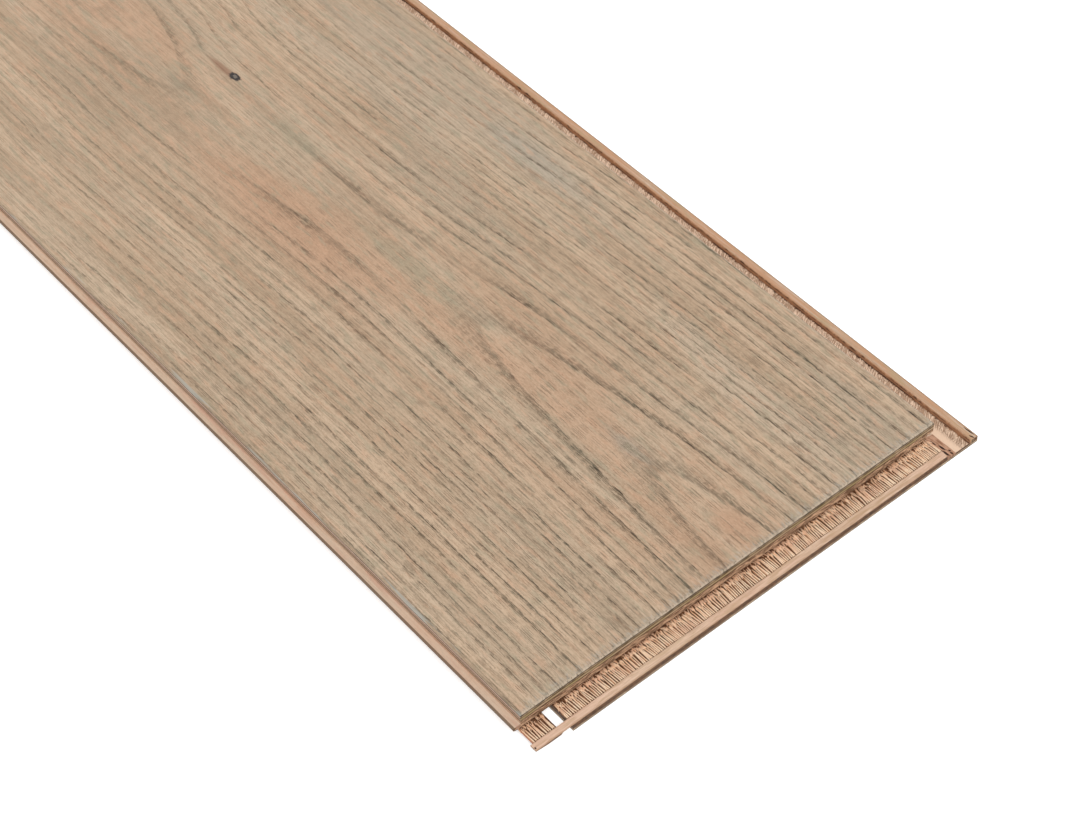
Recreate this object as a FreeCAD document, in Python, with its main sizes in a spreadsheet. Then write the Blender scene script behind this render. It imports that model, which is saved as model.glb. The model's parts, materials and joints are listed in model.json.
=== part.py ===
import FreeCAD, Part
import Sketcher
import math
import os
import re

# A wide engineered floorboard: glued plies, with a click joint milled on all four sides.
# Millimetres. +X is the short end with the lip, +Y the long side with the lip, +Z the walking face.
# The origin is at the bottom, in the middle of the overall outline.

doc = FreeCAD.newDocument("floorboard")

sizes = doc.addObject("Spreadsheet::Sheet", "sizes")
sizeList = {
    # the board between its four top edges
    "top_length": 1220,
    "top_width": 190,
    "thickness": 14,
    "bevel": 0.55,
    # plies, from the top down and from the bottom up; the cross ply fills what is left
    "wear_depth": 2,
    "thin_ply_depth": 1.3,
    "tongue_ply_depth": 3.25,
    "long_ply_depth": 1.98,
    "backing_depth": 1.3,
    # long side: tongue, and the foot of the core below it
    "side_tongue_out": 3.1,
    "side_tongue_below": 4.8,
    "side_tongue_height": 1.75,
    "side_foot_out": 0.8,
    "side_foot_level": 3.23,
    # long side: relief that slopes down from the foot, and the locking groove at its inner end
    "side_relief_in": 4.5,
    "side_relief_level": 2.6,
    "side_lock_in": 10.15,
    "side_lock_width": 4.85,
    "side_lock_level": 3.35,
    "side_lock_slope": 0.6,
    # long side: channel and locking ridge on the lip
    "side_channel_out": 4.1,
    "side_channel_level": 2.15,
    "side_ridge_slope": 0.8,
    "side_ridge_top": 3.2,
    "side_ridge_edge": 2.8,
    # short end: slot, channel and locking ridge on the lip
    "end_lip_out": 8.5,
    "end_slot_below": 6.5,
    "end_slot_in": 2.9,
    "end_floor_level": 3.1,
    "end_ridge_foot": 5.4,
    "end_ridge_crest": 5.8,
    "end_ridge_top": 4.1,
    "end_ridge_edge": 3.74,
    # short end: tongue, and the relief under it
    "end_tongue_height": 2,
    "end_relief_level": 3.6,
    # shared by both joints
    "nose_radius": 0.45,
    "corner_radius": 0.7,
    "slide_play": 0.1,
    "lock_play": 0.15,
    "tip_play": 0.3,
}
for row, (word, value) in enumerate(sizeList.items(), start=1):
    sizes.set("A%d" % row, word)
    sizes.set("B%d" % row, str(value))
    sizes.setAlias("B%d" % row, word)
doc.recompute()


def bound(formula):
    return re.sub("[a-z_]+", lambda word: "sizes." + word.group(), formula)


# A lip reaches as far as the groove it locks into, less a little play; so does a tongue in its slot.
sideLipOut = "(side_lock_in + side_lock_width - tip_play)"
endTongueOut = "(end_slot_in - 2 * tip_play)"
totalLength = "(top_length + end_lip_out + " + endTongueOut + ")"
totalWidth = "(top_width + side_tongue_out + " + sideLipOut + ")"
near = "(" + totalLength + " / 2 - end_lip_out)"
far = "(" + endTongueOut + " - " + totalLength + " / 2)"
left = "(side_tongue_out - " + totalWidth + " / 2)"
right = "(" + totalWidth + " / 2 - " + sideLipOut + ")"
# How far the uncut blanks and the cutters stand outside the finished board.
margin = "thickness / 2"


def closedSketch(body, plane, name, outline):
    """A closed outline on one of the body's own planes, each corner placed by its own formulas."""
    sketch = body.newObject("Sketcher::SketchObject", name)
    base = next(feature for feature in body.Origin.OriginFeatures if feature.Role == plane)
    sketch.AttachmentSupport = [(base, "")]
    sketch.MapMode = "FlatFace"
    count = len(outline)
    turns = [2 * math.pi * i / count for i in range(count)]
    rough = [FreeCAD.Vector(100 * math.cos(turn), 100 * math.sin(turn), 0) for turn in turns]
    for i in range(count):
        sketch.addGeometry(Part.LineSegment(rough[i], rough[(i + 1) % count]), False)
    for i in range(count):
        sketch.addConstraint(Sketcher.Constraint("Coincident", i, 2, (i + 1) % count, 1))
    for i, (across, up) in enumerate(outline):
        for kind, start, formula in (("DistanceX", rough[i].x, across), ("DistanceY", rough[i].y, up)):
            number = sketch.addConstraint(Sketcher.Constraint(kind, -1, 1, i, 1, start))
            sketch.setExpression("Constraints[%d]" % number, bound(formula))
    return sketch


def run(body, kind, plane, name, outline, length):
    """Pads or pockets an outline by a length, half to each side of its plane."""
    sketch = closedSketch(body, plane, name + "_outline", outline)
    before = 0 if body.Tip is None else body.Tip.Shape.Volume
    feature = body.newObject("PartDesign::" + kind, name)
    feature.Profile = sketch
    feature.SideType = "Symmetric"
    feature.setExpression("Length", bound(length))
    doc.recompute()
    if feature.Shape.isNull() or (feature.Shape.Volume < before) != (kind == "Pocket"):
        raise RuntimeError(name + " changes nothing")
    return feature


def easeEdges(body, kind, name, wanted, size):
    """Rounds or chamfers the edges that run the whole way through the section and pass the test."""
    base = body.Tip
    box = base.Shape.BoundBox
    through = box.YLength if body.Name == "short_ends" else box.XLength
    picked = ["Edge%d" % (i + 1) for i, edge in enumerate(base.Shape.Edges)
              if abs(edge.Length - through) < 0.01 and wanted(edge.CenterOfMass, box)]
    feature = body.newObject("PartDesign::" + kind, name)
    feature.Base = (base, picked)
    feature.setExpression("Radius" if kind == "Fillet" else "Size", bound(size))
    doc.recompute()
    return feature


# Section across the board: tongue side left, lip side right.
across = doc.addObject("PartDesign::Body", "long_sides")
acrossRun = totalLength + " + 2 * " + margin
tongueTop = "thickness - side_tongue_below"
tongueLow = tongueTop + " - side_tongue_height"
lockEnd = "(side_lock_in + side_lock_width)"

run(across, "Pad", "YZ_Plane", "core", [
    (left, "0"), (right, "0"), (right, "thickness"), (left, "thickness"),
], acrossRun)
run(across, "Pad", "YZ_Plane", "side_tongue", [
    (left + " + " + margin, "side_relief_level"),
    (left + " - side_foot_out", "side_relief_level"),
    (left + " - side_foot_out", tongueLow),
    (left + " - side_tongue_out", tongueLow),
    (left + " - side_tongue_out", tongueTop),
    (left + " + " + margin, tongueTop),
], acrossRun)
easeEdges(across, "Fillet", "side_tongue_nose",
          lambda middle, box: abs(middle.y - box.YMin) < 0.01, "nose_radius")
run(across, "Pad", "YZ_Plane", "side_lip", [
    (right + " - side_foot_out - slide_play", "0"),
    (right + " + " + sideLipOut, "0"),
    (right + " + " + sideLipOut, "side_ridge_edge"),
    (right + " + side_lock_in + lock_play + side_ridge_slope", "side_ridge_top"),
    (right + " + side_lock_in + lock_play", "side_channel_level"),
    (right + " + side_channel_out", "side_channel_level"),
    (right + " - side_foot_out - slide_play", "side_foot_level - slide_play"),
], acrossRun)
run(across, "Pocket", "YZ_Plane", "side_groove", [
    (right + " + side_channel_out", tongueTop + " + slide_play"),
    (right + " - side_tongue_out - tip_play", tongueTop + " + slide_play"),
    (right + " - side_tongue_out - tip_play", tongueLow + " - slide_play"),
    (right + " - side_foot_out - slide_play", tongueLow + " - slide_play"),
    (right + " - side_foot_out - slide_play", "side_foot_level - slide_play"),
    (right + " + side_channel_out", "side_channel_level"),
], acrossRun)
run(across, "Pocket", "YZ_Plane", "side_underside", [
    (left + " + " + lockEnd, "0 - " + margin),
    (left + " + " + lockEnd, "side_lock_level"),
    (left + " + side_lock_in + side_lock_slope", "side_lock_level"),
    (left + " + side_lock_in", "side_relief_level"),
    (left + " + side_relief_in", "side_relief_level"),
    (left + " - side_foot_out", "side_foot_level"),
    (left + " - " + margin, "side_foot_level"),
    (left + " - " + margin, "0 - " + margin),
], acrossRun)
easeEdges(across, "Chamfer", "side_bevels",
          lambda middle, box: abs(middle.z - box.ZMax) < 0.01, "bevel")

# Section along the board: tongue end left, lip end right.
along = doc.addObject("PartDesign::Body", "short_ends")
alongRun = totalWidth + " + 2 * " + margin
slotRoof = "thickness - end_slot_below"

run(along, "Pad", "XZ_Plane", "length", [
    (far, "0"), (near, "0"), (near, "thickness"), (far, "thickness"),
], alongRun)
run(along, "Pad", "XZ_Plane", "end_tongue", [
    (far + " + " + margin, slotRoof + " - slide_play - end_tongue_height"),
    (far + " - " + endTongueOut, slotRoof + " - slide_play - end_tongue_height"),
    (far + " - " + endTongueOut, slotRoof + " - slide_play"),
    (far + " + " + margin, slotRoof + " - slide_play"),
], alongRun)
easeEdges(along, "Fillet", "end_tongue_nose",
          lambda middle, box: abs(middle.x - box.XMin) < 0.01, "nose_radius")
run(along, "Pad", "XZ_Plane", "end_lip", [
    (near + " - " + margin, "0"),
    (near + " + end_lip_out", "0"),
    (near + " + end_lip_out", "end_ridge_edge"),
    (near + " + end_ridge_crest", "end_ridge_top"),
    (near + " + end_ridge_foot", "end_floor_level"),
    (near + " - " + margin, "end_floor_level"),
], alongRun)
run(along, "Pocket", "XZ_Plane", "end_slot", [
    (near + " + end_ridge_foot", slotRoof),
    (near + " - end_slot_in + corner_radius", slotRoof),
    (near + " - end_slot_in", slotRoof + " - corner_radius"),
    (near + " - end_slot_in", "end_floor_level + corner_radius"),
    (near + " - end_slot_in + corner_radius", "end_floor_level"),
    (near + " + end_ridge_foot", "end_floor_level"),
], alongRun)
run(along, "Pocket", "XZ_Plane", "end_underside", [
    (far + " + end_lip_out + lock_play", "0 - " + margin),
    (far + " + end_lip_out + lock_play", "end_ridge_top + 2 * slide_play"),
    (far + " + end_ridge_crest - lock_play", "end_ridge_top + 2 * slide_play"),
    (far + " + end_ridge_foot - lock_play", "end_relief_level"),
    (far + " - " + margin, "end_relief_level"),
    (far + " - " + margin, "0 - " + margin),
], alongRun)
easeEdges(along, "Chamfer", "end_bevels",
          lambda middle, box: abs(middle.z - box.ZMax) < 0.01, "bevel")

# The glued blank is milled with both sections, so the board is what they share.
milled = doc.addObject("Part::Common", "milled_board")
milled.Base = across
milled.Tool = along


def ply(name, low, high, start="", end="", first="", last=""):
    """The part of the board between two levels, and between limits along and across if given."""
    blank = doc.addObject("Part::Box", name + "_blank")
    start = start or "0 - " + totalLength + " / 2 - " + margin
    end = end or totalLength + " / 2 + " + margin
    first = first or "0 - " + totalWidth + " / 2 - " + margin
    last = last or totalWidth + " / 2 + " + margin
    limits = (("x", "Length", start, end), ("y", "Width", first, last), ("z", "Height", low, high))
    for axis, side, fromHere, toHere in limits:
        blank.setExpression("Placement.Base." + axis, bound(fromHere))
        blank.setExpression(side, bound("(" + toHere + ") - (" + fromHere + ")"))
    piece = doc.addObject("Part::Common", name)
    piece.Base = blank
    piece.Tool = milled
    piece.Label = name
    return piece


wearLow = "thickness - wear_depth"
thinLow = wearLow + " - thin_ply_depth"
tonguePlyLow = thinLow + " - tongue_ply_depth"
longTop = "backing_depth + long_ply_depth"
lockMiddle = left + " + side_lock_in + side_lock_width / 2"
floorMiddle = near + " + end_ridge_foot / 2"

# The milling parts the cross ply at the end channel and the long-grain ply at the locking groove.
pieces = [
    ply("oak_wear_layer", wearLow, "thickness"),
    ply("thin_ply", thinLow, wearLow),
    ply("tongue_ply", tonguePlyLow, thinLow),
    ply("cross_ply", longTop, tonguePlyLow, end=floorMiddle),
    ply("end_ridge", longTop, tonguePlyLow, start=floorMiddle),
    ply("long_grain_ply", "backing_depth", longTop, first=lockMiddle),
    ply("side_strip", "backing_depth", longTop, last=lockMiddle),
    ply("backing_ply", "0", "backing_depth"),
]
doc.recompute()

for item in doc.Objects:
    if "Invalid" in item.State or "Error" in item.State:
        raise RuntimeError("failed: " + item.Name)
for piece in pieces:
    shape = piece.Shape
    if shape.isNull() or not shape.isValid() or len(shape.Solids) != 1:
        raise RuntimeError("bad solid: %s, %d solids" % (piece.Label, len(shape.Solids)))
    box = shape.BoundBox
    print("%s: %.1f cm3, x %.2f to %.2f, y %.2f to %.2f, z %.2f to %.2f" % (
        piece.Label, shape.Volume / 1000, box.XMin, box.XMax, box.YMin, box.YMax, box.ZMin, box.ZMax))

os.makedirs("parts", exist_ok=True)
for piece in pieces:
    piece.Shape.exportStep("parts/" + piece.Label + ".step")
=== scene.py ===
import json
import math
import random

import bmesh
import bpy
from mathutils import Matrix, Vector


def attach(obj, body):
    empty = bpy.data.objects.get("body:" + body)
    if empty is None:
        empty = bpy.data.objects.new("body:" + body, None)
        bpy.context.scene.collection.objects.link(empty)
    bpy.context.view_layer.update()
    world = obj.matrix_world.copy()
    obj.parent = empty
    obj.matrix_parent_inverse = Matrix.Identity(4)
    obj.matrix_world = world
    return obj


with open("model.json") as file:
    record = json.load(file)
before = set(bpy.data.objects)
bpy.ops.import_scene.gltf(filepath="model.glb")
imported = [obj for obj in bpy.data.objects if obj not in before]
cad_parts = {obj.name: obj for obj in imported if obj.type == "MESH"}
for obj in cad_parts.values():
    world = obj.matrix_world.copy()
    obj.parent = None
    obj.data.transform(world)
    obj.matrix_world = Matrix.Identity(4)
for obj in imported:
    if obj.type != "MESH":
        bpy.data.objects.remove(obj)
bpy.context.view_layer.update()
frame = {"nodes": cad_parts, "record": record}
nodes = frame["nodes"]
print("frame: %d plies and strips" % len(nodes))

mm = 0.001
woodSpecular = 0.3

# where the CAD has the board's forms, in millimetres
board = {
    "faceEnd": 606.2,      # near edge of the flat oak face
    "faceSide": -100.2,    # past it the bevel is the tongue side's
    "glueHeights": (12.0, 10.7, 7.45, 3.28, 1.3),
    "glueWidth": 0.3,
    "lowTop": 3.4,         # everything under it belongs to the lower plies
    "endWall": 603.9,      # the near end's upper wall is just past it
    "channel": (603.8, 612.35),
    "channelSide": 88.5,
    "channelEdge": (-99.8, -99.0),
    "gluelessFoot": (611.5, 613.2),
    "ridgeTop": 612.3,
    "ridgeRims": ((615.15, 615.5), (612.2, 612.7)),
    "slope": (88.6, 92.6),
    "lipFloor": (92.8, 99.0),
    "lipWall": (99.2, 100.5),
    "lipWallBase": 1.5,
    "lipRim": (103.35, 103.6),
    "tongueRoot": -100.6,
    "tongueNose": -103.35,
    "grooveWall": (-85.95, -85.65),
}


# Node helpers: each adds a node to a tree and gives back its output socket.
def place(tree, kind, **settings):
    node = tree.nodes.new("ShaderNode" + kind)
    for name, value in settings.items():
        setattr(node, name, value)
    return node


def feed(tree, socket, value):
    if isinstance(value, bpy.types.NodeSocket):
        tree.links.new(value, socket)
    else:
        socket.default_value = value


def calc(tree, operation, *values):
    node = place(tree, "Math", operation=operation)
    for socket, value in zip(node.inputs, values):
        feed(tree, socket, value)
    return node.outputs[0]


def times(tree, first, *others):
    for value in others:
        first = calc(tree, "MULTIPLY", first, value)
    return first


def inverse(tree, value):
    return calc(tree, "SUBTRACT", 1.0, value)


def shifted(tree, value, noise, reach):
    # moves a value by a noise, to plus or minus half the reach
    return calc(tree, "MULTIPLY_ADD", calc(tree, "SUBTRACT", noise, 0.5), reach, value)


def between(tree, value, low, high, start=0.0, end=1.0):
    node = place(tree, "MapRange", interpolation_type="SMOOTHSTEP")
    for socket, given in zip(node.inputs, (value, low, high, start, end)):
        feed(tree, socket, given)
    return node.outputs[0]


def band(tree, value, low, high, soft):
    # 1 between low and high, falling to 0 over the soft distance outside them
    rise = between(tree, value, low - soft, low)
    return times(tree, rise, between(tree, value, high, high + soft, 1.0, 0.0))


def tint(tree, share, under, over):
    node = place(tree, "Mix", data_type="RGBA")
    feed(tree, node.inputs[0], share)
    feed(tree, node.inputs[6], under)
    feed(tree, node.inputs[7], over)
    return node.outputs[2]


def vector(tree, x, y, z=0.0):
    node = place(tree, "CombineXYZ")
    for socket, value in zip(node.inputs, (x, y, z)):
        feed(tree, socket, value)
    return node.outputs[0]


def split(tree, point):
    node = place(tree, "SeparateXYZ")
    feed(tree, node.inputs[0], point)
    return node.outputs


def stretched(tree, point, x, y, z):
    node = place(tree, "VectorMath", operation="MULTIPLY")
    feed(tree, node.inputs[0], point)
    node.inputs[1].default_value = (x, y, z)
    return node.outputs[0]


def cloud(tree, point, scale, detail=2.0, roughness=0.5, twist=0.0):
    node = place(tree, "TexNoise")
    feed(tree, node.inputs["Vector"], stretched(tree, point, *scale))
    node.inputs["Scale"].default_value = 1.0
    node.inputs["Detail"].default_value = detail
    node.inputs["Roughness"].default_value = roughness
    node.inputs["Distortion"].default_value = twist
    return node.outputs[0]


def dashes(tree, point, length, width, sparse):
    # lens-shaped marks along X, each its own size: the sparser, the fewer of them are full size
    cells = place(tree, "TexVoronoi", voronoi_dimensions="2D")
    feed(tree, cells.inputs["Vector"], stretched(tree, point, 1 / length, 1 / width, 0.0))
    cells.inputs["Scale"].default_value = 1.0
    chance = split(tree, cells.outputs["Color"])[0]
    reach = between(tree, chance, sparse, 1.0, 0.0, 0.6)
    return between(tree, calc(tree, "SUBTRACT", reach, cells.outputs["Distance"]), 0.0, 0.2)


def curve(tree, value, points, height):
    # a curve through listed points: points are (place, value), value within plus or minus height
    low, high = points[0][0], points[-1][0]
    node = place(tree, "FloatCurve")
    line = node.mapping.curves[0]
    for i, (at, level) in enumerate(points):
        spot = ((at - low) / (high - low), 0.5 + level / (2 * height))
        if i == 0:
            line.points[0].location = spot
        elif i == len(points) - 1:
            line.points[-1].location = spot
        else:
            line.points.new(*spot)
    node.mapping.update()
    feed(tree, node.inputs["Value"], calc(tree, "DIVIDE", calc(tree, "SUBTRACT", value, low), high - low))
    return times(tree, calc(tree, "SUBTRACT", node.outputs[0], 0.5), 2 * height)


def oval(tree, x, y, centre, halves):
    # distance from a centre in half-lengths: 1 on the rim of the oval
    across = calc(tree, "DIVIDE", calc(tree, "SUBTRACT", x, centre[0]), halves[0])
    up = calc(tree, "DIVIDE", calc(tree, "SUBTRACT", y, centre[1]), halves[1])
    return calc(tree, "SQRT", calc(tree, "ADD", times(tree, across, across), times(tree, up, up)))


def gouge(tree, x, y, start, end, width):
    # a lens-shaped mark from start to end, widest in the middle
    share = calc(tree, "DIVIDE", calc(tree, "SUBTRACT", x, start[0]), end[0] - start[0])
    middle = calc(tree, "MULTIPLY_ADD", share, end[1] - start[1], start[1])
    away = calc(tree, "ABSOLUTE", calc(tree, "SUBTRACT", y, middle))
    reach = times(tree, share, inverse(tree, share), 2 * width)
    return between(tree, calc(tree, "SUBTRACT", reach, away), -0.05, 0.12)


def makeGroup(name, inputs, outputs):
    group = bpy.data.node_groups.new(name, "ShaderNodeTree")
    for label, kind in inputs:
        group.interface.new_socket(label, in_out="INPUT", socket_type="NodeSocket" + kind)
    for label, kind in outputs:
        group.interface.new_socket(label, in_out="OUTPUT", socket_type="NodeSocket" + kind)
    return group, group.nodes.new("NodeGroupInput"), group.nodes.new("NodeGroupOutput")


def useGroup(tree, group, **values):
    node = place(tree, "Group")
    node.node_tree = group
    for name, value in values.items():
        feed(tree, node.inputs[name], value)
    return node


def srgb(red, green, blue):
    def linear(c):
        c = c / 255
        return c / 12.92 if c <= 0.04045 else ((c + 0.055) / 1.055) ** 2.4
    return (linear(red), linear(green), linear(blue), 1.0)


def startMaterial(name):
    material = bpy.data.materials.new(name)
    material.use_nodes = True
    tree = material.node_tree
    coordinates = place(tree, "TexCoord").outputs["Object"]
    point = stretched(tree, coordinates, 1 / mm, 1 / mm, 1 / mm)  # millimetres from here on
    return material, tree, point


def finishMaterial(tree, colour, roughness, height, bumpDepth):
    shader = tree.nodes["Principled BSDF"]
    feed(tree, shader.inputs["Base Color"], colour)
    feed(tree, shader.inputs["Roughness"], roughness)
    shader.inputs["Specular IOR Level"].default_value = woodSpecular
    bump = place(tree, "Bump")
    bump.inputs["Strength"].default_value = 1.0
    bump.inputs["Distance"].default_value = bumpDepth * mm
    feed(tree, bump.inputs["Height"], height)
    feed(tree, shader.inputs["Normal"], bump.outputs[0])


# Effects that several materials share.
def buildFacing():
    # which way a face looks: Up for level faces, Ease for the bevels, Ends for faces across the board
    group, source, target = makeGroup("facing", [], [("Up", "Float"), ("Ease", "Float"), ("Ends", "Float")])
    axes = split(group, place(group, "NewGeometry").outputs["True Normal"])
    level = calc(group, "ABSOLUTE", axes[2])
    feed(group, target.inputs["Up"], calc(group, "GREATER_THAN", level, 0.9))
    ease = times(group, calc(group, "GREATER_THAN", level, 0.5), calc(group, "LESS_THAN", level, 0.9))
    feed(group, target.inputs["Ease"], ease)
    feed(group, target.inputs["Ends"], calc(group, "GREATER_THAN", calc(group, "ABSOLUTE", axes[0]), 0.5))
    return group


def buildGlue(levels, width):
    # thin dark glue lines where two plies meet
    group, source, target = makeGroup("glueLines", [("Point", "Vector")], [("Mask", "Float")])
    point = source.outputs["Point"]
    height = shifted(group, split(group, point)[2], cloud(group, point, (0.15, 0.15, 0.5), 1), 0.15)
    total = 0.0
    for level in levels:
        gap = calc(group, "ABSOLUTE", calc(group, "SUBTRACT", height, level))
        total = calc(group, "MAXIMUM", total, between(group, gap, width * 0.4, width, 1.0, 0.0))
    feed(group, target.inputs["Mask"], total)
    return group


def buildFibre():
    # long fine fibres along the first axis of the point that comes in
    group, source, target = makeGroup(
        "fibre", [("Point", "Vector")],
        [("Streaks", "Float"), ("Pores", "Float"), ("Patches", "Float"), ("Grit", "Float")])
    point = source.outputs["Point"]
    streaks = times(group, cloud(group, point, (0.03, 1.4, 1.4), 3, 0.6), 0.55)
    mixed = calc(group, "MULTIPLY_ADD", cloud(group, point, (0.15, 3.5, 3.5), 2, 0.6), 0.45, streaks)
    feed(group, target.inputs["Streaks"], mixed)
    feed(group, target.inputs["Pores"], between(group, cloud(group, point, (0.3, 4.0, 4.0), 1), 0.58, 0.68))
    feed(group, target.inputs["Patches"], cloud(group, point, (0.02, 0.12, 0.12), 2))
    feed(group, target.inputs["Grit"], cloud(group, point, (0.9, 2.6, 2.6), 2, 0.7))
    return group


facing = buildFacing()
glueLines = buildGlue(board["glueHeights"], board["glueWidth"])
fibre = buildFibre()

# Oak face.
oak = {
    "wood": srgb(184, 159, 132),
    "lateWood": srgb(208, 182, 154),
    "streak": srgb(158, 134, 109),
    "earlyWood": srgb(145, 122, 97),
    "pink": srgb(188, 147, 118),
    "blush": srgb(204, 162, 132),
    "grey": srgb(170, 162, 147),
    "green": srgb(158, 152, 128),
    "pore": srgb(92, 76, 56),
    "tealPore": srgb(102, 98, 80),
    "accent": srgb(58, 46, 34),
    "stain": srgb(134, 124, 104),
    "filler": srgb(172, 170, 160),
    "knot": srgb(52, 46, 44),
    "knotCentre": srgb(128, 118, 108),
    "knotTail": srgb(142, 100, 76),
    "bevel": srgb(186, 168, 146),
    # painted shade for the tongue side's bevel, with its thin dark edge
    "shadedBevel": srgb(128, 112, 92),
    "sawn": srgb(88, 70, 44),
    "sawnLight": srgb(180, 152, 118),
    "sawnSide": srgb(206, 174, 152),
    "roughness": 0.5,
    "poreRoughness": 0.3,
    "bumpDepth": 0.12,
    # pores: length, width, how sparse
    "largePores": (11.0, 0.28, 0.0),
    "finePores": (4.0, 0.21, 0.05),
    "strayPores": (8.0, 0.26, 0.65),
    "darkPores": (6.0, 0.26, 0.1),
    "knotAt": (288.8, 10.9),
    "knotHalves": (3.2, 1.9),
    "tailShift": (-7, -0.6),
    "tailHalves": (11, 1.7),
    # the rings bend round the knot within this reach
    "knotReach": (15, 5),
    "knotPull": 0.6,
    # ring numbers that close in arches towards the near end
    "arches": (0.97, 2.9),
    # height of the dark line under the bevel
    "sawnLine": (13.1, 13.5),
    # heart line across the board, and its depth under the face, along the board
    "heartLine": [(-613, 4), (-500, 0), (-350, -6), (-200, 0), (-50, 6), (100, 2), (200, -3.5), (250, -6),
                  (277, -8.5), (330, -7), (400, -3.6), (455, -0.6), (554, 1), (607, 1.4)],
    "heartDepth": [(-613, 19), (-430, 30), (-330, 34), (-220, 29), (-80, 18), (0, 15), (110, 20), (250, 29.7),
                   (277, 31.6), (340, 33.6), (400, 34.3), (466, 31.6), (520, 29.2), (562, 27.1), (607, 25)],
    # ring borders: distance from the heart, ring number
    "rings": [(0, -6), (27.1, 1), (31.6, 2), (36, 3), (40.9, 4), (44, 5), (48.2, 6), (52.1, 7), (58.5, 9),
              (66.3, 12), (75.6, 15), (84.2, 17), (96.7, 20), (120, 27)],
    # stains: centre, half-lengths, colour, strength
    "stains": [
        ((424, -2.5), (36, 5.5), "green", 0.5),
        ((336, 8), (17, 4), "green", 0.45),
        ((408, 70), (30, 7), "grey", 0.6),
        ((596, 5), (13, 7), "pink", 0.7),
        ((370, -24), (70, 14), "pink", 0.6),
        ((545, 1), (14, 4), "grey", 0.5),
        ((500, 95), (60, 10), "green", 0.4),
        ((262, -26), (55, 24), "streak", 0.4),
        ((276, -8), (8, 3.5), "stain", 0.45),
        ((268, -3), (6, 3), "green", 0.45),
        ((130, 20), (60, 10), "pink", 0.5),
        ((-240, -40), (90, 12), "grey", 0.5),
    ],
}


def buildRings():
    group, source, target = makeGroup(
        "growthRings", [("Point", "Vector")], [("Ring", "Float"), ("Share", "Float"), ("Flat", "Float")])
    point = source.outputs["Point"]
    x, y = split(group, point)[:2]
    # rings run round the knot
    near = oval(group, x, y, oak["knotAt"], oak["knotReach"])
    pull = times(group, calc(group, "EXPONENT", times(group, near, near, -1.0)), oak["knotPull"])
    bent = calc(group, "MULTIPLY_ADD", calc(group, "SUBTRACT", oak["knotAt"][1], y), pull, y)
    bent = shifted(group, bent, cloud(group, point, (0.012, 0.03, 0.0), 2), 1.8)
    bent = shifted(group, bent, cloud(group, point, (0.05, 0.25, 0.0), 2), 1.0)
    bent = shifted(group, bent, cloud(group, point, (0.2, 1.0, 0.0), 3, 0.7), 1.4)
    heart = curve(group, x, oak["heartLine"], height=20)
    depth = curve(group, x, oak["heartDepth"], height=50)
    side = calc(group, "SUBTRACT", bent, heart)
    radius = calc(group, "SQRT", calc(group, "ADD", times(group, side, side), times(group, depth, depth)))
    number = curve(group, radius, oak["rings"], height=30)
    feed(group, target.inputs["Ring"], number)
    feed(group, target.inputs["Share"], calc(group, "FRACT", number))
    # near the heart line the rings are cut flat, and look wide and faint
    feed(group, target.inputs["Flat"], between(group, calc(group, "ABSOLUTE", side), 2, 14, 1.0, 0.0))
    return group


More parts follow.
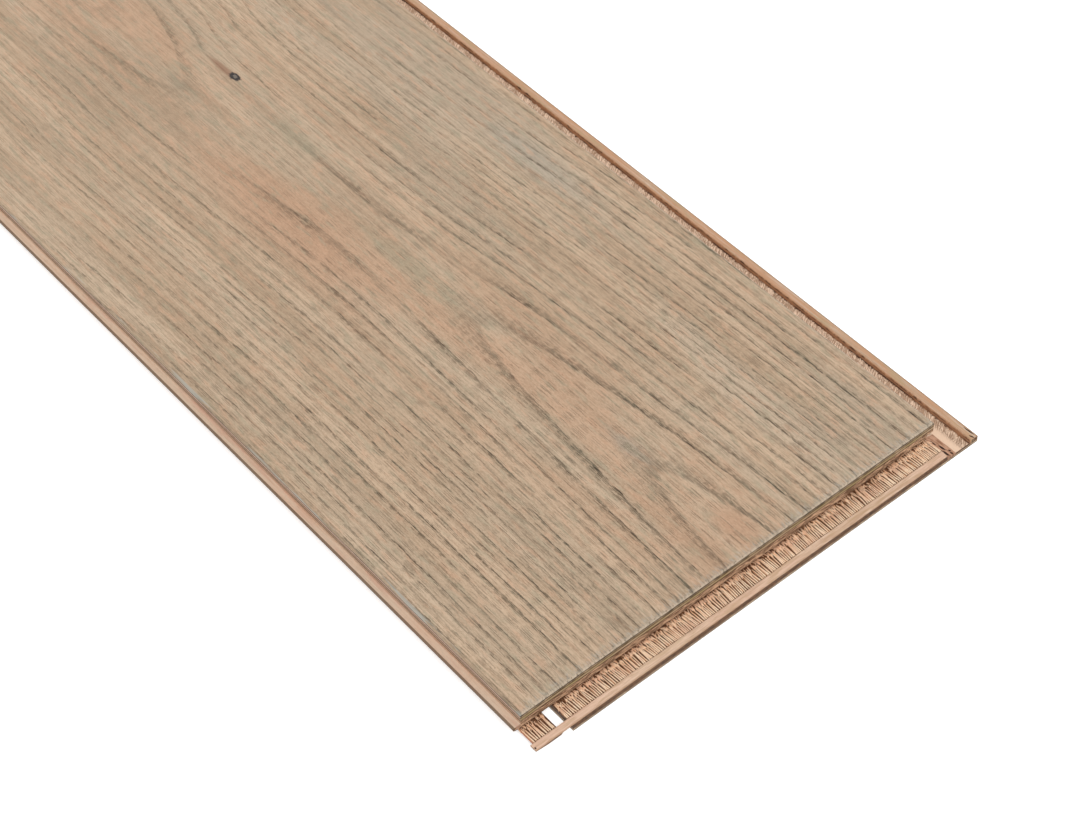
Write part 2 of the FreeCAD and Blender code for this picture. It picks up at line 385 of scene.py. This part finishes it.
def buildOakFace():
    material, tree, point = startMaterial("oakFace")
    x, y, z = split(tree, point)
    rings = useGroup(tree, buildRings(), Point=point)
    grain = useGroup(tree, fibre, Point=point)
    looks = useGroup(tree, facing)
    share, ring = rings.outputs["Share"], rings.outputs["Ring"]
    streaks, grit = grain.outputs["Streaks"], grain.outputs["Grit"]

    # porous early wood at the start of each ring, stronger and weaker along it
    wide = times(tree, between(tree, share, 0.0, 0.06), between(tree, share, 0.15, 0.45, 1.0, 0.0))
    narrow = times(tree, between(tree, share, 0.0, 0.04), between(tree, share, 0.07, 0.2, 1.0, 0.0))
    # each ring has its own run of noise, so that neighbours differ
    whole = calc(tree, "FLOOR", ring)
    alongRing = calc(tree, "MULTIPLY_ADD", whole, 17.3, times(tree, x, 0.02))
    ownNoise = cloud(tree, vector(tree, alongRing, times(tree, whole, 5.1)), (1, 1, 0))
    presence = between(tree, ownNoise, 0.36, 0.64, 0.25, 1.05)
    # the two rings that close in arches always show
    presence = calc(tree, "MAXIMUM", presence, times(tree, band(tree, ring, *oak["arches"], 0.03), 0.75))
    # the far part is smoother
    crisp = between(tree, x, 200, 560, 0.5, 1.0)
    presence = times(tree, presence, crisp, between(tree, rings.outputs["Flat"], 0, 1, 1.0, 0.55))
    largePores = times(tree, dashes(tree, point, *oak["largePores"]), narrow, presence)
    finePores = times(tree, dashes(tree, point, *oak["finePores"]), wide, presence)
    strayPores = times(tree, dashes(tree, point, *oak["strayPores"]), crisp, 0.55)
    pores = calc(tree, "MAXIMUM", largePores, calc(tree, "MAXIMUM", finePores, strayPores))
    darkPores = times(tree, dashes(tree, point, *oak["darkPores"]), narrow, presence)
    darkPores = times(tree, darkPores, between(tree, x, 200, 520, 0.3, 1.0))

    # broad tone along the board, late wood lighter, fine streaks
    broad = cloud(tree, point, (0.006, 0.09, 0.0), 3, 0.6)
    colour = tint(tree, between(tree, broad, 0.34, 0.66), oak["wood"], oak["lateWood"])
    colour = tint(tree, between(tree, streaks, 0.44, 0.62, 0.0, 0.7), colour, oak["streak"])
    colour = tint(tree, between(tree, streaks, 0.46, 0.32, 0.0, 0.4), colour, oak["lateWood"])
    # pink heart streak down the middle, greyer towards the lip side
    warmth = cloud(tree, point, (0.007, 0.05, 0.0), 3)
    flecks = cloud(tree, point, (0.1, 0.45, 0.0), 2)
    middle = between(tree, calc(tree, "ABSOLUTE", calc(tree, "ADD", y, 6)), 6, 40, 1.0, 0.2)
    colour = tint(tree, times(tree, middle, between(tree, warmth, 0.4, 0.6), 0.5), colour, oak["pink"])
    cool = times(tree, between(tree, y, 0, 70, 0.3, 0.8), between(tree, warmth, 0.56, 0.4), 0.35)
    colour = tint(tree, cool, colour, oak["grey"])
    for centre, halves, name, strength in oak["stains"]:
        spread = shifted(tree, oval(tree, x, y, centre, halves), flecks, 0.8)
        colour = tint(tree, between(tree, spread, 0.3, 1.3, strength, 0.0), colour, oak[name])
    colour = tint(tree, between(tree, flecks, 0.54, 0.68, 0.0, 0.42), colour, oak["blush"])
    colour = tint(tree, between(tree, flecks, 0.46, 0.32, 0.0, 0.4), colour, oak["green"])
    # early wood and its pores, some of them filled with a teal grey
    colour = tint(tree, times(tree, wide, presence, 0.24), colour, oak["earlyWood"])
    colour = tint(tree, times(tree, narrow, presence, 0.26), colour, oak["stain"])
    darkGrit = times(tree, between(tree, grit, 0.5, 0.7, 0.0, 0.45), crisp)
    lightGrit = times(tree, between(tree, grit, 0.5, 0.3, 0.0, 0.4), crisp)
    colour = tint(tree, darkGrit, colour, oak["earlyWood"])
    colour = tint(tree, lightGrit, colour, oak["lateWood"])
    filled = between(tree, cloud(tree, point, (0.02, 0.06, 0.0), 3), 0.48, 0.62)
    poreColour = tint(tree, filled, oak["pore"], oak["tealPore"])
    colour = tint(tree, times(tree, pores, between(tree, filled, 0, 1, 0.7, 0.85)), colour, poreColour)
    colour = tint(tree, times(tree, darkPores, 0.8), colour, oak["accent"])

    # knot with a drawn-out tail towards the far end
    tailAt = [at + shift for at, shift in zip(oak["knotAt"], oak["tailShift"])]
    tail = oval(tree, x, y, tailAt, oak["tailHalves"])
    colour = tint(tree, between(tree, tail, 0.4, 1.2, 0.65, 0.0), colour, oak["knotTail"])
    frayed = cloud(tree, point, (0.5, 0.9, 0.0), 3)
    knot = shifted(tree, oval(tree, x, y, oak["knotAt"], oak["knotHalves"]), frayed, 1.1)
    colour = tint(tree, between(tree, knot, 0.75, 1.15, 1.0, 0.0), colour, oak["knot"])
    colour = tint(tree, between(tree, knot, 0.25, 0.5, 0.8, 0.0), colour, oak["knotCentre"])

    # bevels hold pale filler, in tufts that reach a little way over the near end
    rubbed = cloud(tree, point, (0.35, 0.9, 0.0), 3, 0.7)
    faceEnd, faceSide = board["faceEnd"], board["faceSide"]
    tufts = times(tree, between(tree, x, faceEnd - 4.2, faceEnd), between(tree, rubbed, 0.48, 0.62), 0.55)
    tufts = calc(tree, "MAXIMUM", tufts, between(tree, x, faceEnd - 1.2, faceEnd, 0.0, 0.25))
    colour = tint(tree, tufts, colour, oak["filler"])
    filledEdge = times(tree, looks.outputs["Ease"], calc(tree, "GREATER_THAN", y, faceSide))
    keptFiller = times(tree, filledEdge, between(tree, rubbed, 0.4, 0.6, 0.3, 0.95))
    colour = tint(tree, keptFiller, colour, oak["bevel"])
    worn = between(tree, cloud(tree, point, (1.2, 1.2, 0.0), 2), 0.52, 0.66, 0.0, 0.7)
    colour = tint(tree, times(tree, filledEdge, worn), colour, oak["pore"])
    # the tongue side's bevel is darkened, partly as painted shade and partly as a thin dark edge, with filler
    # left in long patches
    rubbedFar = cloud(tree, point, (0.03, 0.3, 0.0), 2, 0.6)
    leftBevelShade = times(tree, looks.outputs["Ease"], calc(tree, "LESS_THAN", y, faceSide), 0.35)
    colour = tint(tree, leftBevelShade, colour, oak["shadedBevel"])
    leftRim = between(tree, y, faceSide + 0.8, faceSide + 0.3)
    leftPatches = times(tree, between(tree, rubbedFar, 0.5, 0.6), leftRim, 0.75)
    colour = tint(tree, leftPatches, colour, oak["filler"])
    # the cut edges are raw, with a dark line under the bevel
    raw = inverse(tree, calc(tree, "MAXIMUM", looks.outputs["Up"], looks.outputs["Ease"]))
    sawMarks = between(tree, cloud(tree, point, (0.5, 0.35, 3.0), 3), 0.4, 0.65)
    sawn = tint(tree, sawMarks, oak["sawn"], oak["sawnLight"])
    sawn = tint(tree, inverse(tree, looks.outputs["Ends"]), sawn, oak["sawnSide"])
    sawn = tint(tree, band(tree, z, *oak["sawnLine"], 0.12), sawn, oak["knot"])
    colour = tint(tree, raw, colour, sawn)
    glue = useGroup(tree, glueLines, Point=point)
    colour = tint(tree, times(tree, glue.outputs[0], raw, 0.9), colour, oak["accent"])

    height = calc(tree, "MULTIPLY_ADD", pores, -1.0, times(tree, streaks, 0.4))
    height = calc(tree, "MULTIPLY_ADD", grit, 0.25, height)
    roughness = calc(tree, "MULTIPLY_ADD", pores, oak["poreRoughness"], oak["roughness"])
    finishMaterial(tree, colour, roughness, height, oak["bumpDepth"])
    return material


# Raw plies.
veneer = {
    "roughness": 0.75,
    "bumpDepth": 0.15,
}


def layVeneer(tree, point, look, across=False):
    # what every raw ply has: fibres, pores, darker end grain, glue lines
    x, y, z = split(tree, point)
    grain = useGroup(tree, fibre, Point=vector(tree, y, x, z) if across else point)
    looks = useGroup(tree, facing)
    glue = useGroup(tree, glueLines, Point=point)
    standing = inverse(tree, looks.outputs["Up"])
    ends = looks.outputs["Ends"]
    cut = times(tree, standing, times(tree, inverse(tree, ends), 0.45) if across else ends)
    colour = tint(tree, between(tree, grain.outputs["Streaks"], 0.38, 0.62), look["light"], look["dark"])
    blush = between(tree, grain.outputs["Patches"], 0.42, 0.65, 0.0, 0.5)
    colour = tint(tree, blush, colour, look["blush"])
    colour = tint(tree, times(tree, grain.outputs["Pores"], 0.6), colour, look["pore"])
    speckle = between(tree, cloud(tree, point, (0.35, 0.25, 2.4), 3, 0.7), 0.4, 0.6)
    endGrain = tint(tree, speckle, look["end"], look["endDark"])
    colour = tint(tree, cut, colour, endGrain)
    rough = between(tree, cloud(tree, point, (0.3, 0.3, 2.4), 3, 0.7), 0.35, 0.65, 0.3, 0.8)
    colour = tint(tree, times(tree, ends, inverse(tree, cut), rough), colour, look["end"])
    # no glue shows at the foot of the near ridge, where the torn strands run into it
    shown = inverse(tree, band(tree, x, *board["gluelessFoot"], 0.1))
    colour = tint(tree, times(tree, glue.outputs[0], standing, shown, 0.9), colour, look["glue"])
    height = calc(tree, "ADD", grain.outputs["Streaks"], times(tree, speckle, cut))
    return colour, height, looks


crossVeneer = {
    "light": srgb(227, 198, 173),
    "dark": srgb(194, 160, 133),
    "blush": srgb(218, 178, 154),
    "pore": srgb(184, 148, 120),
    "end": srgb(158, 126, 96),
    "endDark": srgb(104, 80, 56),
    "glue": srgb(56, 36, 22),
    "rim": srgb(176, 138, 108),
    "olive": srgb(150, 130, 84),
    "blotch": srgb(186, 154, 118),
    # painted shade of one small hole
    "holeShade": srgb(52, 34, 22),
    "speckAt": (614.5, -101.1),
    "speckHalves": (0.4, 0.35),
    # height of the thin ply's olive part
    "oliveAt": (10.9, 11.8),
}


def buildCrossVeneer():
    material, tree, point = startMaterial("crossVeneer")
    x, y, z = split(tree, point)
    colour, height, looks = layVeneer(tree, point, crossVeneer, across=True)
    # the near ridge is a little darker along its outer rim and its foot, and has one small hole painted dark
    # as its shade
    worn = between(tree, cloud(tree, point, (0.6, 0.25, 0.0), 3, 0.6), 0.35, 0.65)
    outer, foot = board["ridgeRims"]
    rims = calc(tree, "MAXIMUM", band(tree, x, *outer, 0.2), band(tree, x, *foot, 0.1))
    colour = tint(tree, times(tree, rims, worn, 0.7), colour, crossVeneer["rim"])
    # the thin ply looks olive in the end wall, and the ridge is blotched
    blotches = cloud(tree, point, (0.8, 0.1, 0.0), 2, 0.6)
    thinEdge = times(tree, band(tree, z, *crossVeneer["oliveAt"], 0.1), looks.outputs["Ends"])
    thinEdge = times(tree, thinEdge, between(tree, blotches, 0.4, 0.6, 0.3, 0.8))
    colour = tint(tree, thinEdge, colour, crossVeneer["olive"])
    onRidge = times(tree, calc(tree, "GREATER_THAN", x, board["ridgeTop"]), looks.outputs["Up"])
    onRidge = times(tree, onRidge, between(tree, blotches, 0.5, 0.62, 0.0, 0.45))
    colour = tint(tree, onRidge, colour, crossVeneer["blotch"])
    hole = oval(tree, x, y, crossVeneer["speckAt"], crossVeneer["speckHalves"])
    colour = tint(tree, between(tree, hole, 0.7, 1.2, 1.0, 0.0), colour, crossVeneer["holeShade"])
    finishMaterial(tree, colour, veneer["roughness"], height, veneer["bumpDepth"])
    return material


longVeneer = {
    "light": srgb(214, 188, 164),
    "dark": srgb(190, 160, 133),
    "blush": srgb(208, 162, 134),
    "pore": srgb(168, 132, 104),
    "end": srgb(208, 166, 132),
    "endDark": srgb(98, 66, 42),
    "glue": srgb(56, 36, 22),
    "lowEnd": srgb(124, 82, 50),
    "lowEndDark": srgb(56, 34, 18),
    "tornFloor": srgb(196, 150, 114),
    # painted shade in the gaps between torn strands and under the upper lip
    "tornGapShade": srgb(92, 58, 34),
    "edge": srgb(208, 148, 122),
    "slope": srgb(200, 154, 126),
    "slopeDark": srgb(146, 100, 72),
    # painted shade and dark streaks of the side ridge's inner wall
    "wall": srgb(70, 41, 24),
    "wallLight": srgb(150, 103, 70),
    "lipFloor": srgb(240, 207, 179),
    "stroke": srgb(136, 94, 62),
    "ridge": srgb(198, 150, 114),
    "ridgeOlive": srgb(184, 158, 122),
    "rim": srgb(140, 120, 98),
    "tongue": srgb(210, 188, 166),
    "tonguePink": srgb(196, 150, 128),
    # painted shade for the locking groove's wall and inside the pits
    "recessShade": srgb(50, 28, 14),
    # partly painted shade, partly the dark raw edge of the tongue's nose
    "noseShade": srgb(92, 72, 52),
    # pits and a crack torn beside the near ridge and in the side ridge, painted dark as the shade inside
    # them: start, end, width
    "gouges": [
        ((609.0, 88.3), (612.6, 88.0), 1.5),
        ((609.2, 90.2), (612.6, 90.5), 1.0),
        ((611.4, 89.0), (615.5, 89.6), 1.2),
        ((605.6, 89.4), (609.0, 89.5), 0.5),
        ((612.8, 91.6), (614.0, 91.7), 0.8),
        ((614.0, 91.2), (615.4, 91.3), 0.8),
        ((608.9, 103.0), (614.6, 103.2), 0.6),
        ((613.2, 101.5), (615.4, 102.2), 0.7),
    ],
    # the cutter's strokes: where they are across the board, and how far apart
    "strokesAt": (96.8, 99.3),
    "strokePitch": 0.95,
    "strokeCentre": 94,
    "strokeBow": 0.7,
}


def buildLongVeneer():
    material, tree, point = startMaterial("longVeneer")
    x, y, z = split(tree, point)
    colour, height, looks = layVeneer(tree, point, longVeneer)
    up, ends = looks.outputs["Up"], looks.outputs["Ends"]
    low = calc(tree, "LESS_THAN", z, board["lowTop"])
    beyond = calc(tree, "GREATER_THAN", x, board["endWall"])
    start, end = board["channel"]
    wallFoot, wallTop = board["lipWall"]

    # the lower ply is dark and ragged where it is cut off
    ragged = between(tree, cloud(tree, point, (0.5, 0.7, 2.2), 3, 0.7), 0.36, 0.6)
    lowEnd = tint(tree, ragged, longVeneer["lowEnd"], longVeneer["lowEndDark"])
    colour = tint(tree, times(tree, low, ends, inverse(tree, up), 0.9), colour, lowEnd)
    # torn floor of the end channel: pale strands with dark gaps, partly painted shade, and more painted shade
    # towards the wall under the upper lip
    inChannel = times(tree, band(tree, x, start, end, 0.05), up, low)
    inChannel = times(tree, inChannel, calc(tree, "LESS_THAN", y, board["channelSide"]))
    shadedGaps = between(tree, cloud(tree, point, (0.12, 1.6, 0.0), 2, 0.6, 0.3), 0.36, 0.48)
    floor = tint(tree, shadedGaps, longVeneer["tornFloor"], longVeneer["tornGapShade"])
    # painted shade under the upper lip, strongest by the wall
    floor = tint(tree, between(tree, x, start + 0.6, start + 2.0, 0.5, 0.0), floor, longVeneer["tornGapShade"])
    floor = tint(tree, between(tree, x, start + 1.7, start + 6.7, 0.6, 0.1), floor, longVeneer["tornGapShade"])
    floor = tint(tree, between(tree, y, *board["channelEdge"], 0.6, 0.0), floor, longVeneer["edge"])
    colour = tint(tree, inChannel, colour, floor)
    # reddish slope beside it
    mottled = between(tree, cloud(tree, point, (0.3, 1.5, 0.0), 3, 0.7), 0.42, 0.62)
    slopeTone = tint(tree, mottled, longVeneer["slope"], longVeneer["slopeDark"])
    colour = tint(tree, times(tree, band(tree, y, *board["slope"], 0.3), beyond, low, 0.9), colour, slopeTone)
    inLip = times(tree, band(tree, y, *board["lipFloor"], 0.3), low, up)
    colour = tint(tree, times(tree, inLip, 0.85), colour, longVeneer["lipFloor"])
    # curved strokes of the cutter across the side lip's floor
    across = calc(tree, "SUBTRACT", y, longVeneer["strokeCentre"])
    bow = calc(tree, "MULTIPLY_ADD", across, longVeneer["strokeBow"], x)
    hairs = between(tree, cloud(tree, vector(tree, bow, y), (2.4, 0.22, 0.0), 2, 0.7), 0.46, 0.6)
    bow = shifted(tree, bow, cloud(tree, point, (0.35, 0.6, 0.0), 2), 3.0)
    ripple = calc(tree, "SINE", times(tree, bow, 2 * math.pi / longVeneer["strokePitch"]))
    patchy = between(tree, cloud(tree, point, (0.2, 0.7, 0.0), 2), 0.4, 0.56)
    strokes = times(tree, between(tree, ripple, 0.3, 1.0), patchy, 0.9)
    strokes = calc(tree, "MAXIMUM", strokes, times(tree, hairs, 0.65))
    strokes = times(tree, strokes, band(tree, y, *longVeneer["strokesAt"], 2.4), low, up)
    colour = tint(tree, strokes, colour, longVeneer["stroke"])
    # inner wall of the side ridge, darkened partly as painted shade and partly in its own streaks
    streaky = between(tree, cloud(tree, point, (0.12, 1.4, 1.2), 3, 0.7), 0.42, 0.58)
    wallShadeTone = tint(tree, streaky, longVeneer["wall"], longVeneer["wallLight"])
    lightLine = band(tree, y, wallFoot + 0.55, wallFoot + 0.65, 0.12)
    wallShadeTone = tint(tree, lightLine, wallShadeTone, longVeneer["wallLight"])
    crest = shifted(tree, y, cloud(tree, point, (0.35, 0.3, 0.0), 2, 0.7), 1.2)
    crest = between(tree, crest, wallTop - 0.5, wallTop - 0.2, 0.0, 0.85)
    wallShadeTone = tint(tree, crest, wallShadeTone, longVeneer["ridge"])
    raggedness = between(tree, y, wallFoot, wallFoot + 0.55, 3.2, 0.0)
    wallAt = shifted(tree, y, cloud(tree, point, (1.1, 0.2, 0.0), 2, 0.7), raggedness)
    wall = times(tree, band(tree, wallAt, wallFoot, wallTop, 0.12), low, 0.95)
    wall = times(tree, wall, calc(tree, "GREATER_THAN", z, board["lipWallBase"]))
    colour = tint(tree, wall, colour, wallShadeTone)
    grained = between(tree, cloud(tree, point, (0.04, 1.1, 0.0), 3, 0.6), 0.38, 0.6, 0.0, 0.85)
    onRidge = times(tree, calc(tree, "GREATER_THAN", y, wallTop), low)
    colour = tint(tree, times(tree, onRidge, up, grained), colour, longVeneer["ridge"])
    blotches = cloud(tree, point, (0.06, 0.4, 0.0), 2)
    olive = times(tree, between(tree, blotches, 0.52, 0.64), onRidge, 0.6)
    colour = tint(tree, olive, colour, longVeneer["ridgeOlive"])
    rim = times(tree, between(tree, y, *board["lipRim"]), low, 0.7)
    colour = tint(tree, rim, colour, longVeneer["rim"])
    # the locking groove's wall under the channel, darkened as painted shade, and the nose of the tongue,
    # partly painted shade and partly its dark raw edge
    hole = times(tree, band(tree, y, *board["grooveWall"], 0.02), inverse(tree, up), low)
    colour = tint(tree, times(tree, hole, 0.8), colour, longVeneer["recessShade"])
    high = inverse(tree, low)
    onTongue = times(tree, calc(tree, "LESS_THAN", y, board["tongueRoot"]), high)
    tongueTop = times(tree, onTongue, up, between(tree, grained, 0, 1, 0.75, 0.3))
    colour = tint(tree, tongueTop, colour, longVeneer["tongue"])
    flushed = times(tree, between(tree, blotches, 0.5, 0.36, 0.0, 0.4), onTongue)
    colour = tint(tree, flushed, colour, longVeneer["tonguePink"])
    noseShade = times(tree, calc(tree, "LESS_THAN", y, board["tongueNose"]), high, 0.8)
    colour = tint(tree, noseShade, colour, longVeneer["noseShade"])
    # painted shade inside pits and a crack that the mesh doesn't cut, with a dent in the bump
    shadedPits = 0.0
    for head, tip, width in longVeneer["gouges"]:
        shadedPits = calc(tree, "MAXIMUM", shadedPits, gouge(tree, x, y, head, tip, width))
    shadedPits = times(tree, shadedPits, up, low)
    colour = tint(tree, shadedPits, colour, longVeneer["recessShade"])
    height = calc(tree, "MULTIPLY_ADD", calc(tree, "MAXIMUM", shadedPits, strokes), -1.5, height)
    finishMaterial(tree, colour, veneer["roughness"], height, veneer["bumpDepth"])
    return material


backingVeneer = {
    "light": srgb(214, 192, 168),
    "dark": srgb(188, 160, 134),
    "blush": srgb(208, 180, 154),
    "pore": srgb(160, 130, 104),
    "end": srgb(216, 188, 156),
    "endDark": srgb(150, 124, 98),
    "glue": srgb(70, 46, 30),
    "lowerRim": srgb(84, 72, 58),
    # the rim darkens from the first height down to the second
    "lowerRimAt": (0.65, 0.35),
}


def buildBackingVeneer():
    material, tree, point = startMaterial("backingVeneer")
    colour, height, looks = layVeneer(tree, point, backingVeneer)
    rim = between(tree, split(tree, point)[2], *backingVeneer["lowerRimAt"])
    rim = times(tree, rim, inverse(tree, looks.outputs["Up"]), 0.8)
    colour = tint(tree, rim, colour, backingVeneer["lowerRim"])
    finishMaterial(tree, colour, veneer["roughness"], height, veneer["bumpDepth"])
    return material


finishes = {
    "oak_face": buildOakFace(),
    "cross_veneer": buildCrossVeneer(),
    "long_veneer": buildLongVeneer(),
    "backing_veneer": buildBackingVeneer(),
}
for part in frame["record"]["subparts"]:
    slots = nodes[part["node"]].data.materials
    slots.clear()
    slots.append(finishes[part["material_slot"]])
print("materials: %d finishes" % len(finishes))

# Torn fibres on the floor of the end channel.
channel = {
    "seed": 11,
    "floor": 3.1,            # level of the milled floor
    "sink": 0.04,            # how far the splinters start inside it
    "wall": 604.1,           # under the upper lip
    "ridgeFoot": 612.2,
    "sides": (-100.4, 88.3),
    "hole": (-90.3, -85.6),  # where the locking groove has cut the floor through
    "pitch": 0.8,
    "length": (5.0, 7.5),
    "usualLength": 6.0,
    "width": (0.36, 0.56),
    "height": (0.35, 0.6),
    "tangle": 800,
    "tangleLength": (0.8, 2.6),
    "tangleWidth": (0.22, 0.36),
    "tangleHeight": (0.2, 0.55),
    "tangleReach": 3.2,
    "tangleBack": 2.4,       # past it the short splinters point back at the wall
    "cuts": 5,
    "taper": 0.6,
    "topWidth": 0.75,
    "pale": srgb(255, 230, 200),
    "tan": srgb(242, 196, 156),
    "pink": srgb(232, 186, 156),
    # painted shade at the splinters' feet
    "foot": srgb(110, 72, 44),
    "shade": srgb(190, 144, 110),
    "roughness": 0.8,
    "bumpDepth": 0.1,
}


def buildSplinter():
    # one splinter a unit long, wide and high, drawn out to a thin tip
    shape = bmesh.new()
    bmesh.ops.create_cube(shape, size=1.0, matrix=Matrix.Translation((0.5, 0, 0.5)))
    lengthways = [edge for edge in shape.edges if abs(edge.verts[0].co.x - edge.verts[1].co.x) > 0.5]
    bmesh.ops.subdivide_edges(shape, edges=lengthways, cuts=channel["cuts"])
    for vertex in shape.verts:
        left = 1 - channel["taper"] * vertex.co.x ** 3
        vertex.co.y *= left * (channel["topWidth"] if vertex.co.z > 0.5 else 1.0)
        vertex.co.z *= left
    bmesh.ops.recalc_face_normals(shape, faces=shape.faces)
    mesh = bpy.data.meshes.new("splinter")
    shape.to_mesh(mesh)
    shape.free()
    return mesh


def addSplinter(shape, pattern, corners, root, size, turn, bend, lift):
    # bends the pattern, turns it, moves it to its root and adds a copy of it
    spot = Matrix.Translation(root) @ Matrix.Rotation(turn, 4, "Z")
    for vertex, corner in zip(pattern.vertices, corners):
        sway = bend * math.sin(2.5 * corner.x)
        rise = lift * corner.x ** 2
        vertex.co = spot @ Vector((corner.x * size[0], corner.y * size[1] + sway, corner.z * size[2] + rise))
    shape.from_mesh(pattern)


def buildTornFibres():
    chance = random.Random(channel["seed"])
    pattern = buildSplinter()
    corners = [vertex.co.copy() for vertex in pattern.vertices]
    shape = bmesh.new()
    low, high = channel["sides"]
    holeStart, holeEnd = channel["hole"]
    base = channel["floor"] - channel["sink"]
    y = low
    fan = 0.0
    while y < high:
        y += channel["pitch"] * chance.uniform(0.7, 1.3)
        fan = fan * 0.95 + chance.uniform(-0.025, 0.025)
        if holeStart < y < holeEnd:
            continue
        length = chance.triangular(*channel["length"], channel["usualLength"])
        root = (channel["ridgeFoot"] + chance.uniform(-0.15, 0.1), y, base)
        size = (length, chance.uniform(*channel["width"]), chance.uniform(*channel["height"]))
        turn = math.pi + fan + chance.gauss(0, 0.02)
        addSplinter(shape, pattern, corners, root, size, turn, chance.gauss(0, 0.12), chance.uniform(0, 0.12))
    for _ in range(channel["tangle"]):
        y = chance.uniform(low, high)
        if holeStart - 0.3 < y < holeEnd + 0.3:
            continue
        reach = channel["tangleReach"] * chance.random() ** 1.3
        length = chance.uniform(*channel["tangleLength"])
        root = (channel["wall"] + reach, y, base)
        size = (length, chance.uniform(*channel["tangleWidth"]), chance.uniform(*channel["tangleHeight"]))
        turn = chance.gauss(0, 0.25) + (math.pi if reach > channel["tangleBack"] else 0.0)
        addSplinter(shape, pattern, corners, root, size, turn, chance.gauss(0, 0.15), chance.uniform(0, 0.3))
    bmesh.ops.scale(shape, vec=(mm, mm, mm), verts=shape.verts)
    mesh = bpy.data.meshes.new("channel_fibres")
    shape.to_mesh(mesh)
    shape.free()
    bpy.data.meshes.remove(pattern)
    fibres = bpy.data.objects.new("channel_fibres", mesh)
    bpy.context.scene.collection.objects.link(fibres)
    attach(fibres, "root")
    return fibres


def buildFibreFinish():
    material, tree, point = startMaterial("tornFibre")
    x, y, z = split(tree, point)
    strand = cloud(tree, point, (0.15, 1.5, 0.0), 2, 0.7)
    patch = cloud(tree, point, (0.3, 0.08, 0.0), 2)
    wall, floor = channel["wall"], channel["floor"]
    nearRidge = between(tree, x, wall + 2.9, wall + 6.9, 1.0, 0.4)
    browned = times(tree, between(tree, strand, 0.36, 0.64), nearRidge)
    colour = tint(tree, browned, channel["pale"], channel["tan"])
    colour = tint(tree, between(tree, patch, 0.45, 0.65, 0.0, 0.5), colour, channel["pink"])
    inward = between(tree, x, wall + 0.4, wall + 2.5, 0.6, 0.0)
    colour = tint(tree, inward, colour, channel["shade"])
    # painted shade at the splinters' feet, where they meet the floor
    colour = tint(tree, between(tree, z, floor, floor + 0.14, 0.9, 0.0), colour, channel["foot"])
    finishMaterial(tree, colour, channel["roughness"], strand, channel["bumpDepth"])
    return material


tornFibres = buildTornFibres()
tornFibres.data.materials.append(buildFibreFinish())
print("torn fibres: %d faces" % len(tornFibres.data.polygons))

# Floor, light and camera.
studio = {
    "floorSize": 9.0,
    "floorColour": (0.9, 0.9, 0.9, 1),
    "skyStrength": 0.51,
    "sunStrength": 1.95,
    "sunFrom": (0.9, -0.35, 1.4),
    "sunSoftness": 35,
    "floorLift": 0.5,
}


def seenDirectly(tree):
    # 1 for what the camera sees, in a mirror or through glass too
    seen = place(tree, "LightPath")
    through = calc(tree, "MAXIMUM", seen.outputs["Is Glossy Ray"], seen.outputs["Is Transmission Ray"])
    return calc(tree, "MAXIMUM", seen.outputs["Is Camera Ray"], through)


def buildFloor():
    shape = bmesh.new()
    bmesh.ops.create_grid(shape, x_segments=1, y_segments=1, size=studio["floorSize"] / 2)
    mesh = bpy.data.meshes.new("floor")
    shape.to_mesh(mesh)
    shape.free()
    floor = bpy.data.objects.new("floor", mesh)
    bpy.context.scene.collection.objects.link(floor)
    material = bpy.data.materials.new("paleFloor")
    material.use_nodes = True
    tree = material.node_tree
    shader = tree.nodes["Principled BSDF"]
    shader.inputs["Base Color"].default_value = studio["floorColour"]
    shader.inputs["Roughness"].default_value = 1.0
    shader.inputs["Specular IOR Level"].default_value = 0.0
    glow = place(tree, "Emission")
    feed(tree, glow.inputs["Strength"], times(tree, seenDirectly(tree), studio["floorLift"]))
    both = place(tree, "AddShader")
    tree.links.new(shader.outputs[0], both.inputs[0])
    tree.links.new(glow.outputs[0], both.inputs[1])
    tree.links.new(both.outputs[0], tree.nodes["Material Output"].inputs["Surface"])
    mesh.materials.append(material)


def buildLight():
    world = bpy.data.worlds.new("softSky")
    bpy.context.scene.world = world
    world.use_nodes = True
    tree = world.node_tree
    sky = tree.nodes["Background"]
    sky.inputs["Color"].default_value = (1, 1, 1, 1)
    feed(tree, sky.inputs["Strength"], between(tree, seenDirectly(tree), 0, 1, studio["skyStrength"], 1.0))
    lamp = bpy.data.lights.new("window", "SUN")
    lamp.energy = studio["sunStrength"]
    lamp.angle = math.radians(studio["sunSoftness"])
    window = bpy.data.objects.new("window", lamp)
    bpy.context.scene.collection.objects.link(window)
    window.rotation_mode = "QUATERNION"
    window.rotation_quaternion = Vector(studio["sunFrom"]).to_track_quat("Z", "Y")


# the lens and place that the board's own edges give, in pixels and millimetres
view = {
    "focalPixels": 2572.3,
    "imageWidth": 1080,
    "place": (992.81, -381.85, 704.59),
    "right": (0.639236, 0.768205, -0.035192),
    "down": (0.563108, -0.498756, -0.658902),
    "ahead": (-0.523724, 0.401377, -0.751405),
    "sensorWidth": 36,
}


def buildCamera():
    data = bpy.data.cameras.new("camera")
    data.sensor_width = view["sensorWidth"]
    data.lens = view["focalPixels"] / view["imageWidth"] * view["sensorWidth"]
    data.clip_start, data.clip_end = 0.01, 20
    camera = bpy.data.objects.new("camera", data)
    bpy.context.scene.collection.objects.link(camera)
    right, down, ahead = (Vector(view[name]).normalized() for name in ("right", "down", "ahead"))
    turn = Matrix((right, -down, -ahead)).transposed()
    camera.matrix_world = Matrix.Translation(Vector(view["place"]) * mm) @ turn.to_4x4()
    bpy.context.scene.camera = camera


buildFloor()
buildLight()
buildCamera()
bpy.context.scene.view_settings.view_transform = "Standard"
print("floor, light and camera set")
